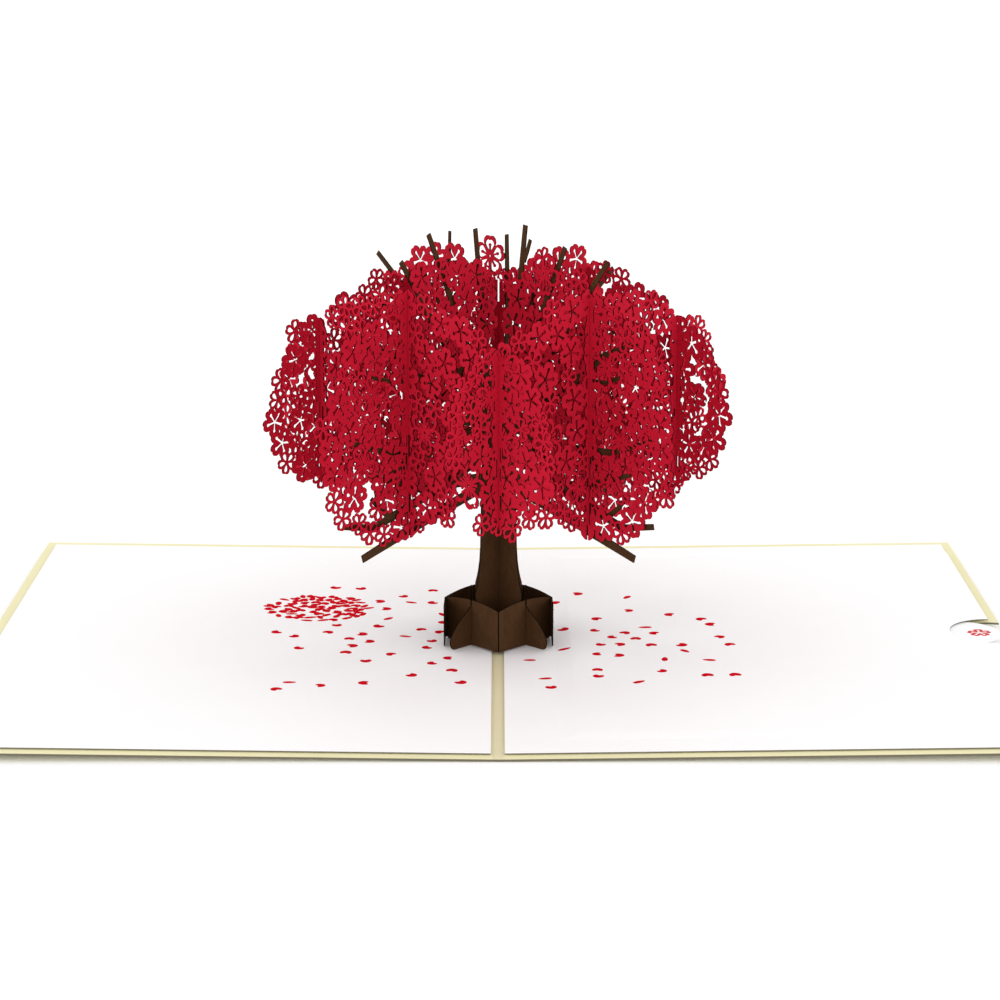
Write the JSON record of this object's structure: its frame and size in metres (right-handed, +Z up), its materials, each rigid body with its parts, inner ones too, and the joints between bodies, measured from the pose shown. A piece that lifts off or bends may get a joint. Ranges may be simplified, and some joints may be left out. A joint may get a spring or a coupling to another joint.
{
  "type": "pop-up greeting card",
  "caption": "Open greeting card with a blossom tree of interlocking cut-paper sheets standing on its two pages, and a note card in a pocket.",
  "frame": {"origin": "on the surface that the card lies on, under the middle of the spine", "axes": "+X across the pages towards the right page, +Y along the spine away from the reader, +Z up"},
  "size_m": [0.254, 0.178, 0.106],
  "materials": {
    "cream_card": "matt",
    "white_card": "matt",
    "red_paper": "matt",
    "brown_paper": "matt"
  },
  "bodies": {
    "root": {"cover": "cream_card", "left_liner": "white_card", "right_liner": "white_card", "note_card": "white_card", "base_wall_front": "brown_paper", "base_wall_back": "brown_paper", "trunk_sheet_a": "brown_paper", "trunk_sheet_b": "brown_paper", "canopy_wall_front_right": "red_paper", "canopy_wall_back_left": "red_paper", "canopy_wall_front_left": "red_paper", "canopy_wall_back_right": "red_paper", "canopy_wing_back_right": "red_paper", "canopy_wing_front_left": "red_paper", "canopy_wing_front_right": "red_paper", "canopy_wing_back_left": "red_paper"}
  },
  "joints": []
}
